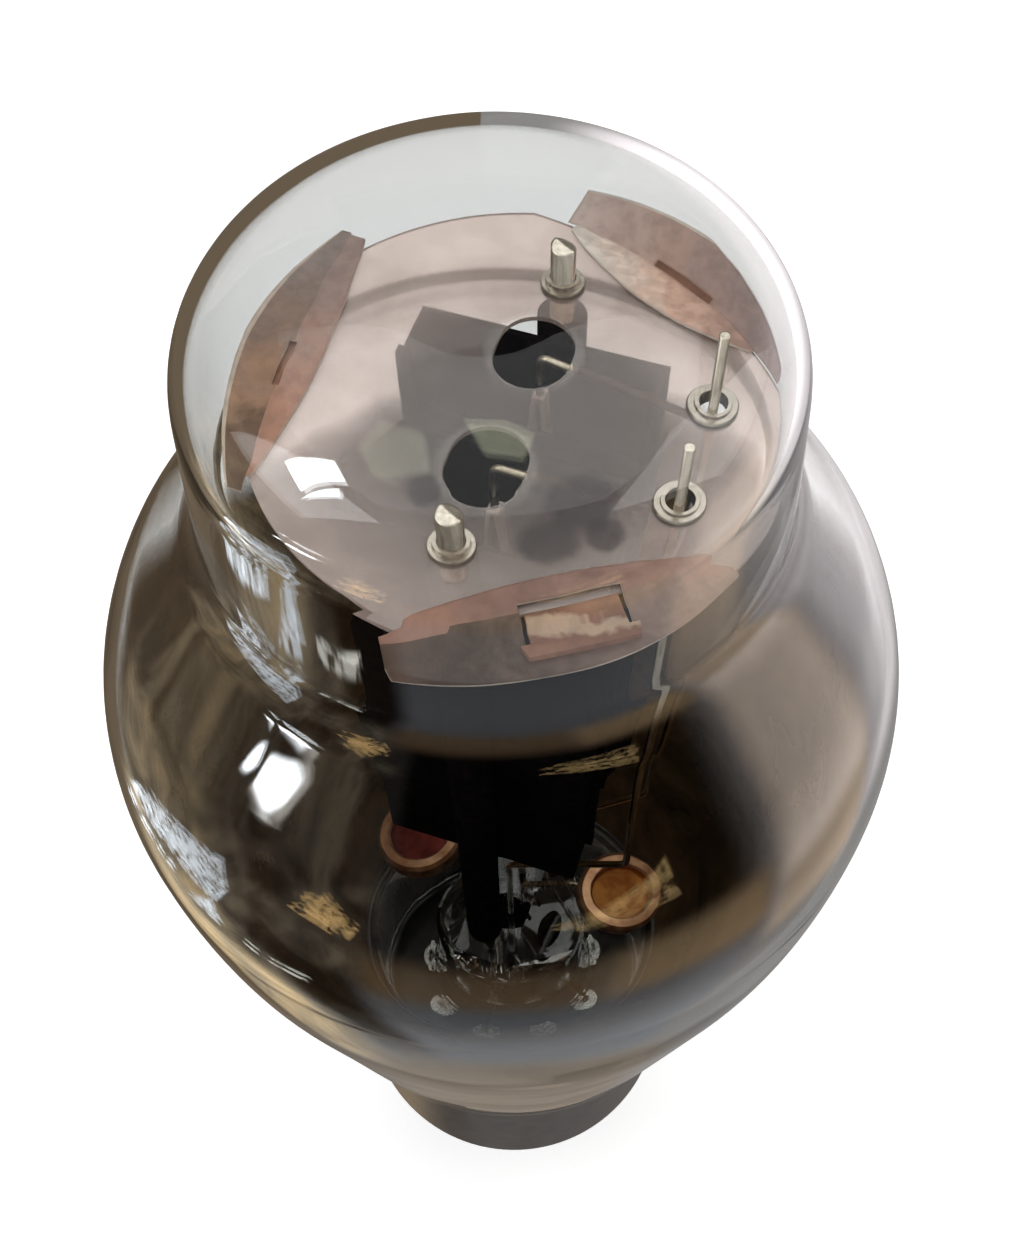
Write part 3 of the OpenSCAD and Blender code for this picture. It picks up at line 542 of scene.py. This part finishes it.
def leaf(side, turn, up, droop, curve, inner, outer, slot, rim, seed):
    """a is the distance across the fold, b the one along it; droop is added to the bend towards one end."""
    rows, inner_n, outer_n = 120, 14, 18
    cols = inner_n + outer_n
    low_b, high_b = min(inner[0], outer[0]), max(inner[1], outer[1])
    turn = math.radians(turn)
    c, sn = math.cos(turn), math.sin(turn)

    def placed(x, y, z):
        x += FOLD_R - curve * y * y
        return Vector((DISC_X + x * c - y * sn, x * sn + y * c, MICA_Z + z))

    top, low, flat = [], [], []
    for i in range(rows + 1):
        b = low_b + (high_b - low_b) * i / rows
        w_in, w_out = half_width(b, inner), half_width(b, outer)
        for j in range(cols + 1):
            a = -w_in * (1 - j / inner_n) if j < inner_n else w_out * (j - inner_n) / outer_n
            n1 = noise.noise(Vector((a * 0.45, b * 0.30, seed)))
            n2 = noise.noise(Vector((a * 1.3, b * 0.9, seed + 7)))
            h = 0.11 + 0.07 * n1 + 0.03 * n2
            shift = 0.14 * noise.noise(Vector((b * 0.55, seed, 3))) * math.exp(-abs(a))
            bend = 0.0 if j < inner_n else math.radians(up + droop * min(0.0, b / 9.0) ** 2)
            nx, nz = -math.sin(bend), math.cos(bend)
            x, z = shift + a * math.cos(bend), max(0.0, a) * math.sin(bend)
            top.append(placed(x + nx * h, b, z + nz * h + LEAF_T))
            low.append(placed(x + nx * (h - LEAF_T), b, z + nz * (h - LEAF_T) + LEAF_T))
            flat.append((a, b))

    def kept(i, j):
        if not (0 <= i < rows and 0 <= j < cols):
            return False
        a = (flat[i * (cols + 1) + j][0] + flat[i * (cols + 1) + j + 1][0]) / 2
        b = (flat[i * (cols + 1) + j][1] + flat[(i + 1) * (cols + 1) + j][1]) / 2
        if half_width(b, inner if j < inner_n else outer) < 0.05:
            return False
        return not (abs(b - slot[0]) < slot[1] / 2 and -slot[2] < a < slot[3])

    faces, kinds, off = [], [], len(top)
    for i in range(rows):
        for j in range(cols):
            if not kept(i, j):
                continue
            q = [i * (cols + 1) + j, (i + 1) * (cols + 1) + j, (i + 1) * (cols + 1) + j + 1, i * (cols + 1) + j + 1]
            faces += [[q[3], q[2], q[1], q[0]], [k + off for k in q]]
            # Kind 2, the outer rim, takes the painted edge glint, and so do the cut sides below
            kinds += [0 if j < inner_n else 2 if j >= cols - rim else 1] * 2
            for m, near in enumerate((kept(i, j - 1), kept(i + 1, j), kept(i, j + 1), kept(i - 1, j))):
                if not near:
                    a, b = q[m], q[(m + 1) % 4]
                    faces.append([a, b, b + off, a + off])
                    kinds.append(2)
    inner_mat, outer_mat = leaf_mats[side]
    ob = new_mesh("leaf_" + side, top + low, faces, inner_mat, replaces=("mica_bumper_" + side,))
    ob.data.materials.append(outer_mat)
    ob.data.materials.append(leaf_edge_glint)
    for poly, kind in zip(ob.data.polygons, kinds):
        poly.material_index = kind
    return ob


for side, sizes in LEAVES.items():
    leaf(side, **sizes)


# The mica disc, drawn to the dome: windows, rod holes, straight edges under the leaves, barbed tongues
def round_hole(x, y, rx, flat=0.0, n=40):
    """A round or oval hole at x, y of the mount's frame; flat is the straight part along its u axis."""
    out = []
    for i in range(n):
        a = 2 * math.pi * i / n
        shift = flat / 2 if math.cos(a) >= 0 else -flat / 2
        q = mount(x + shift + rx * math.cos(a), y + rx * math.sin(a), 0)
        out.append(Vector((q.x, q.y, 0)))
    return out


def disc_edge(n=420):
    out = []
    for i in range(n):
        a = 2 * math.pi * i / n
        q = Vector((DISC_R * math.cos(a), DISC_R * math.sin(a)))
        for sizes in LEAVES.values():
            t = math.radians(sizes["turn"])
            p = Matrix.Rotation(-t, 2) @ q
            fold = FOLD_R - sizes["curve"] * p.y * p.y
            if p.x > fold:
                q = Matrix.Rotation(t, 2) @ Vector((fold, p.y))
        out.append(Vector((q.x + DISC_X, q.y, 0)))
    return out


def sheet(loops, low, high):
    """Vertices and faces of a flat sheet: the first loop is its edge, the others are its holes."""
    flat = [q for loop in loops for q in loop]
    n = len(flat)
    verts = [Vector((q.x, q.y, high)) for q in flat] + [Vector((q.x, q.y, low)) for q in flat]
    faces = []
    for tri in geometry.tessellate_polygon(loops):
        up = (flat[tri[1]] - flat[tri[0]]).cross(flat[tri[2]] - flat[tri[0]]).z > 0
        tri = tri if up else tri[::-1]
        faces += [list(tri), [k + n for k in reversed(tri)]]
    start = 0
    for k, loop in enumerate(loops):
        for i in range(len(loop)):
            a, b = start + i, start + (i + 1) % len(loop)
            faces.append([a, a + n, b + n, b] if k == 0 else [b, b + n, a + n, a])
        start += len(loop)
    return verts, faces


TONGUE_L, TONGUE_W, BARB, BARB_L = 2.05, 4.6, 0.5, 0.8
TONGUES = (("left", -6, 0.0), ("right", 4, -0.4), ("front", 12, -0.35))  # leaf, rise in degrees, shift to the side
disc_loops = [disc_edge()]
for k in (-1, 1):
    disc_loops.append(round_hole(k * WINDOW_AT, 0, 2.05, 0.8, 64))
    disc_loops.append(round_hole(k * ROD_AT, 0, 0.96))
    disc_loops.append(round_hole(k * POST_AT, -POST_SIDE, 1.005))
v1, f1 = sheet(disc_loops, MICA_Z - MICA_T, MICA_Z)
tongue_from = len(f1)
w, e = TONGUE_W / 2, TONGUE_W / 2 + BARB
shape = [Vector((a, b, 0)) for a, b in (
    (0, -w), (TONGUE_L - BARB_L, -w), (TONGUE_L - BARB_L, -e), (TONGUE_L, -e + 0.2), (TONGUE_L + 0.05, 0),
    (TONGUE_L, e - 0.2), (TONGUE_L - BARB_L, e), (TONGUE_L - BARB_L, w), (0, w))]
for side, rise, aside in TONGUES:
    tv, tf = sheet([shape], -MICA_T, 0)
    out = Matrix.Rotation(math.radians(LEAVES[side]["turn"]), 4, "Z") @ Matrix.Translation((FOLD_R + 0.01, aside, 0))
    lift = out @ Matrix.Rotation(-math.radians(rise), 4, "Y")
    off = len(v1)
    v1 += [Vector((DISC_X, 0, MICA_Z)) + lift @ q for q in tv]
    f1 += [[q + off for q in f] for f in tf]
disc = new_mesh("mica_sheet", v1, f1, mica, smooth=False, replaces=("mica_disc",))
disc.data.materials.append(tongue_mat)
for poly in disc.data.polygons:
    if poly.index >= tongue_from:
        poly.material_index = 1


# Smooth wires in place of the faceted ones, along lines of the mount's frame
def wire(name, points, bend, d, material, cuts=()):
    line = rounded([mount(*q) for q in points], [bend] * len(points), 10)
    verts, faces = sweep(line, d, 28, cuts)
    ob = new_mesh(name + "_smooth", verts, faces, material, replaces=(name,))
    for poly in ob.data.polygons:
        if len(poly.vertices) == 3 or len(poly.vertices) > 4:
            poly.use_smooth = False
    return ob


def cup_point(s, a, h):
    """A point a across and h above the leaning cup's middle, on the side s."""
    c, sn = math.cos(CUP_LEAN), math.sin(CUP_LEAN)
    return (0, s * (CUP_AT + a * c + h * sn), CUP_Z - a * sn + h * c)


def ribbon_x(s):
    """Where a filament's ribbon hangs in its window."""
    return s * WINDOW_AT + 1


# A rod's top is cut off slanted from two sides
rod_cuts = [(0.0, Vector((-0.10, -0.22, 1.0))), (0.05, Vector((0.45, 0.30, 1.0)))]
ROD_TOP, ARM_Z, ARM_END_Z, BEND_Z = MICA_Z + 2.75, 103.6, 100.65, 48.5
POST_TOPS = {-1: MICA_Z + 4.4, 1: MICA_Z + 5.1}
for s, end in ((-1, "front"), (1, "back")):
    foot, post = STEM_X + s * ROD_FOOT, STEM_X + s * POST_FOOT
    wire("plate_rod_" + end, [(foot, STEM_Y, PRESS_Z), (foot, STEM_Y, 41), (s * ROD_AT, 0, BEND_Z),
                              (s * ROD_AT, 0, ROD_TOP)], 2, ROD_D, nickel, rod_cuts)
    wire("filament_post_" + end, [(post, STEM_Y - 0.75, PRESS_Z), (post, STEM_Y - 0.75, 48),
                                  (s * POST_AT, -POST_SIDE, 58.5), (s * POST_AT, -POST_SIDE, POST_TOPS[s])],
         2, POST_D, nickel)
    wire("filament_hook_" + end, [(s * POST_AT, -9.475, ARM_Z), (ribbon_x(s), 0, ARM_Z), (ribbon_x(s), 0, ARM_END_Z)],
         0.5, HOOK_D, arm_metal)
for s, end in ((1, "left"), (-1, "right")):
    foot, side, lead_z = STEM_X - s * LEAD_FOOT, s * 3.4, 58.15
    wire("filament_lead_" + end, [(foot, STEM_Y, PRESS_Z), (foot, STEM_Y, 44.95),
                                  (ribbon_x(-s) - s * 0.9, side, lead_z), (ribbon_x(s) + s * 0.9, side, lead_z)],
         1.2, LEAD_D, hook_metal)
    foot = STEM_Y + s * CUP_FOOT
    wire("getter_support_" + end, [(STEM_X, foot, PRESS_Z), (STEM_X, foot, 39.5), cup_point(s, -4.5, -1.4),
                                   cup_point(s, -1.8, -0.7), cup_point(s, 1.2, -0.7)], 0.8, LEAD_D, hook_metal)

# Clear pieces cast no shadow of their own
for ob in (bulb, disc, nodes["glass_stem"]):
    ob.visible_shadow = False

# Camera at the photograph's angle: rise above the horizon, distance in millimetres, and the rest in image pixels
IMAGE_W, IMAGE_H, SENSOR = 1024.0, 1233.0, 36.0
RISE, DIST, ROLL = math.radians(59.8), 94.6, math.radians(-2.2)
FOCAL, CENTRE_X, CENTRE_Y = 1420.0, 500.5, 655.0
LOOK_AT = Vector((0, 0, 80))
fwd = Vector((0, math.cos(RISE), -math.sin(RISE)))
right, up = Vector((1, 0, 0)), Vector((0, math.sin(RISE), math.cos(RISE)))
right, up = right * math.cos(ROLL) + up * math.sin(ROLL), up * math.cos(ROLL) - right * math.sin(ROLL)
cam = bpy.data.objects.new("camera", bpy.data.cameras.new("camera"))
bpy.context.scene.collection.objects.link(cam)
turned = Matrix((right, up, -fwd)).transposed().to_4x4()
cam.matrix_world = Matrix.Translation((LOOK_AT - fwd * DIST) * MM) @ turned
cam.data.sensor_width = SENSOR
cam.data.lens = FOCAL * SENSOR / IMAGE_H
cam.data.shift_x = (IMAGE_W / 2 - CENTRE_X) / IMAGE_H
cam.data.shift_y = (CENTRE_Y - IMAGE_H / 2) / IMAGE_H
cam.data.clip_start = 0.005
bpy.context.scene.camera = cam


# What gloss sees: boards round the tube, a dark front and window panes, set out by direction from the tube
def heading(az, el):
    a, e = math.radians(az), math.radians(el)
    return Vector((math.cos(e) * math.cos(a), math.cos(e) * math.sin(a), math.sin(e)))


PANE_SOFT = 0.006


def dot(nt, vec, way):
    n = nt.nodes.new("ShaderNodeVectorMath")
    n.operation = "DOT_PRODUCT"
    n.inputs[1].default_value = way
    link(nt, vec, n.inputs[0])
    return n.outputs["Value"]


def surroundings(nt, vec):
    """Colour by direction: turn is 0 towards the front and 90 to the right, rise is 90 overhead."""
    d = xyz(nt, vec)
    flat = math_node(nt, "SQRT", math_node(nt, "ADD", math_node(nt, "MULTIPLY", d[0], d[0]),
                                           math_node(nt, "MULTIPLY", d[1], d[1])))
    turn = math_node(nt, "DEGREES", math_node(nt, "ARCTAN2", d[0], math_node(nt, "MULTIPLY", d[1], -1.0)))
    rise = math_node(nt, "DEGREES", math_node(nt, "ARCTAN2", d[2], flat))

    def edge(value, at, soft, up):
        n = nt.nodes.new("ShaderNodeMapRange")
        n.interpolation_type = "SMOOTHSTEP"
        n.inputs["From Min"].default_value = at - soft
        n.inputs["From Max"].default_value = at + soft
        n.inputs["To Min"].default_value = 0.0 if up else 1.0
        n.inputs["To Max"].default_value = 1.0 if up else 0.0
        link(nt, value, n.inputs["Value"])
        return n.outputs["Result"]

    def board(t0, t1, r0, r1, soft):
        """1 between the turns t0 and t1 and the rises r0 and r1, with soft edges, all in degrees."""
        m = math_node(nt, "MULTIPLY", edge(turn, t0, soft, True), edge(turn, t1, soft, False))
        m = math_node(nt, "MULTIPLY", m, edge(rise, r0, soft, True))
        return math_node(nt, "MULTIPLY", m, edge(rise, r1, soft, False))

    def pane(corners, soft):
        """1 inside the corners, each an azimuth and an elevation; they go round a convex shape."""
        v = [heading(*c) for c in corners]
        mid = sum(v, Vector()).normalized()
        m = None
        for p, q in zip(v, v[1:] + v[:1]):
            side = p.cross(q).normalized()
            e = edge(dot(nt, vec, side if side.dot(mid) > 0 else -side), 0.0, soft, True)
            m = e if m is None else math_node(nt, "MULTIPLY", m, e)
        reach = min(p.dot(mid) for p in v)
        return math_node(nt, "MULTIPLY", m, edge(dot(nt, vec, mid), reach - 0.02, 0.01, True))

    n1 = noise_tex(nt, vec, 4.0, 3.0, 0.55, 1.2)
    brown = ramp(nt, n1, [(0.38, (0.20, 0.16, 0.11)), (0.52, (0.55, 0.45, 0.31)), (0.64, (0.95, 0.72, 0.42))])
    room = ramp(nt, n1, [(0.38, (0.06, 0.05, 0.04)), (0.52, (0.22, 0.19, 0.15)), (0.64, (0.50, 0.42, 0.30))])
    col = (0.30, 0.29, 0.28)
    # Boards: turn and rise from and to, softness of the edge, paint; a later one covers the ones before it
    for where, soft, paint in (
            ((-400, 400, 36, 100), 8, (0.04, 0.04, 0.045)),
            ((-190, -105, -78, 32), 8, (0.16, 0.12, 0.08)),
            ((-112, -68, -78, 32), 6, brown),
            ((-72, -28, -60, 20), 6, room),
            ((62, 168, -48, 20), 6, (0.78, 0.73, 0.74)),
            ((66, 98, -52, 8), 5, (0.95, 0.74, 0.56)),
            ((66, 98, -34, 8), 5, (2.0, 1.68, 1.45)),
            ((102, 168, -32, 20), 7, (1.45, 1.36, 1.40)),
            ((-42, 62, -80, -42), 5, (0.27, 0.28, 0.30)),
            ((-62, -36, -75, -38), 6, (0.02, 0.016, 0.012)),
            ((-30, 56, -37, 20), 6, (0.006, 0.006, 0.006)),
            ((-60, 60, 20, 84), 6, (0.02, 0.02, 0.02)),
            ((-34, 22, -44, -26), 5, (0.38, 0.25, 0.14)),
            ((22, 62, -44, -25), 5, (0.75, 0.52, 0.30)),
            ((-400, 400, -100, -79), 3, (0.30, 0.25, 0.20))):
        col = mix_color(nt, board(*where, soft), col, paint)
    # Panes: corners, paint, and whether the pane is broken up into strands
    strands = ramp(nt, noise_tex(nt, vec, 30.0, 2.0), grey((0.36, 0.0), (0.54, 1.0)))
    for corners, paint, torn in (
            (((162, -45), (177, -44), (-173.5, -32), (167, -41.5)), (2.6, 2.8, 3.0), True),
            (((177, -42.5), (-163.5, -43), (-157.5, -34), (-172.5, -31.8)), (2.4, 2.6, 2.8), True),
            (((173.3, -36.3), (-171.7, -30), (-158, -24), (-157.3, -33), (-169, -38)), (2.6, 2.8, 3.0), True),
            (((-179.6, -52.4), (-166, -44.4), (-168, -52.5)), (2.2, 2.4, 2.6), True),
            (((157, -50), (178, -50), (178, -48.5), (157, -48.5)), (2.6, 2.8, 3.0), True),
            (((-159.4, -50.6), (-141.6, -50.6), (-141.6, -52), (-159.4, -52)), (3.0, 3.0, 2.7), True),
            (((-156.7, -5.4), (-150.7, -4.8), (-146, -3.4), (-142.1, -0.6), (-144.4, 0.4), (-147, -0.8),
              (-155.1, -2.8)), (3.4, 3.2, 2.9), False),
            (((-155.9, -5.0), (-150.8, -4.5), (-146.7, -2.9), (-144.4, -1.1), (-147.2, -1.0), (-154.9, -3.2)),
             (24.0, 25.0, 26.0), False),
            (((-160.4, -5.8), (-158.5, -5.4), (-156.9, -4.3), (-157.1, -3.5), (-158.7, -4.1)),
             (24.0, 25.0, 26.0), False),
            (((-137.2, -14.2), (-130.8, -9.1), (-122.9, -16.7), (-125.1, -22.6), (-135.3, -19.5)),
             (3.2, 2.1, 0.9), True),
            (((-140.4, -21.0), (-129.2, -23.2), (-128.9, -17.5), (-137.0, -18.6)), (4.0, 2.6, 1.1), True),
            (((-80.9, -7.9), (-74.6, -11.0), (-52.2, -4.5), (-52.6, -0.1)), (2.0, 1.4, 0.6), True),
            (((-74.6, -11.0), (-51.3, -11.7), (-52.0, -6.5)), (1.6, 1.1, 0.5), True),
            (((95.4, 60.5), (88.4, 60.9), (80.5, 63.3), (82.7, 67.7), (93.2, 66.7)), (1.7, 1.75, 1.25), False),
            (((120.1, 61.4), (111.0, 59.3), (104.4, 62.0), (108.5, 68.8), (124, 67)), (1.0, 1.05, 0.75), False),
            (((169, 49.5), (131.7, 62.2), (156, 65.9), (-170.5, 43.9)), (26.0, 27.0, 28.0), False),
            (((-166, 40), (174, 63), (-166, 56), (-160.8, 12)), (22.0, 24.0, 24.5), False)):
        m = pane(corners, PANE_SOFT)
        if torn:
            m = math_node(nt, "MULTIPLY", m, strands)
        col = mix_color(nt, m, col, paint)
    return col


def in_gloss(nt):
    """1 for a ray that has met gloss, and the Light Path node."""
    lp = nt.nodes.new("ShaderNodeLightPath")
    deep = math_node(nt, "GREATER_THAN", lp.outputs["Glossy Depth"], 0.5)
    return math_node(nt, "MULTIPLY", deep, math_node(nt, "SUBTRACT", 1.0, lp.outputs["Is Diffuse Ray"])), lp


def mix_shader(nt, fac, a, b):
    n = nt.nodes.new("ShaderNodeMixShader")
    for k, socket in enumerate((fac, a, b)):
        link(nt, socket, n.inputs[k])
    return n.outputs[0]


# The floor takes the tube's shadow, shows as white, and lets the surroundings through to gloss
FLOOR_HALF = 3.0
floor_mat, nt, b = mat("floor", (0.86, 0.86, 0.86), 0.0, 0.9)
b.inputs["Emission Color"].default_value = (1, 1, 1, 1)
gloss, lp = in_gloss(nt)
seen = math_node(nt, "MAXIMUM", lp.outputs["Is Camera Ray"], lp.outputs["Is Transmission Ray"])
seen = math_node(nt, "MAXIMUM", seen, lp.outputs["Is Glossy Ray"])
link(nt, math_node(nt, "MULTIPLY", seen, 0.55), b.inputs["Emission Strength"])
clear = nt.nodes.new("ShaderNodeBsdfTransparent")
link(nt, mix_shader(nt, gloss, b.outputs[0], clear.outputs[0]), nt.nodes["Material Output"].inputs["Surface"])
me = bpy.data.meshes.new("floor")
me.from_pydata([(x * FLOOR_HALF, y * FLOOR_HALF, 0) for x, y in ((-1, -1), (1, -1), (1, 1), (-1, 1))], [],
               [(0, 1, 2, 3)])
me.materials.append(floor_mat)
floor = bpy.data.objects.new("floor", me)
floor.location.z = FLOOR_Z * MM
bpy.context.scene.collection.objects.link(floor)

# The world: white to the camera, plain light on the tube, the surroundings in its gloss, and a soft room inside it
world = bpy.data.worlds.new("studio")
bpy.context.scene.world = world
world.use_nodes = True
nt = world.node_tree


def background(color):
    n = nt.nodes.new("ShaderNodeBackground")
    link(nt, color, n.inputs["Color"])
    return n.outputs[0]


way = nt.nodes.new("ShaderNodeTexCoord").outputs["Generated"]
gloss, lp = in_gloss(nt)
plain = mix_color(nt, lp.outputs["Is Transmission Ray"], (0.45, 0.45, 0.45), (0.7, 0.68, 0.66))
plain = mix_color(nt, lp.outputs["Is Camera Ray"], plain, (1.0, 1.0, 1.0))
through = math_node(nt, "GREATER_THAN", lp.outputs["Transmission Depth"], 3.5)
height = math_node(nt, "MULTIPLY_ADD", xyz(nt, way)[2], 0.5, 0.5)
inside = ramp(nt, height, [(0.0, (0.50, 0.48, 0.46)), (0.50, (0.30, 0.28, 0.26)), (0.62, (0.22, 0.20, 0.18)),
                           (0.78, (0.9, 0.87, 0.83)), (1.0, (1.1, 1.07, 1.03))])
around = mix_shader(nt, through, background(surroundings(nt, way)), background(inside))
link(nt, mix_shader(nt, gloss, background(plain), around), nt.nodes["World Output"].inputs["Surface"])
nt.nodes.remove(nt.nodes["Background"])


# Soft lamps, each aimed at the upper part of the bulb
def lamp(name, size, az, el, dist, power, color=(1, 1, 1)):
    data = bpy.data.lights.new(name, "AREA")
    data.size = size
    data.energy = power
    data.color = color
    ob = bpy.data.objects.new(name, data)
    ob.location = Vector((0, 0, 0.09)) + heading(az, el) * dist
    ob.rotation_euler = heading(az, el).to_track_quat("Z", "Y").to_euler()
    bpy.context.scene.collection.objects.link(ob)
    return ob


lamp("key_left", 0.6, -175, 45, 1.0, 2.0, (0.97, 0.99, 1.0))
lamp("key_right", 0.9, 10, 45, 1.2, 2.8, (1.0, 0.98, 0.97))
lamp("top_soft", 1.2, 90, 70, 1.5, 4.2).visible_glossy = False

bpy.context.scene.view_settings.view_transform = "Standard"
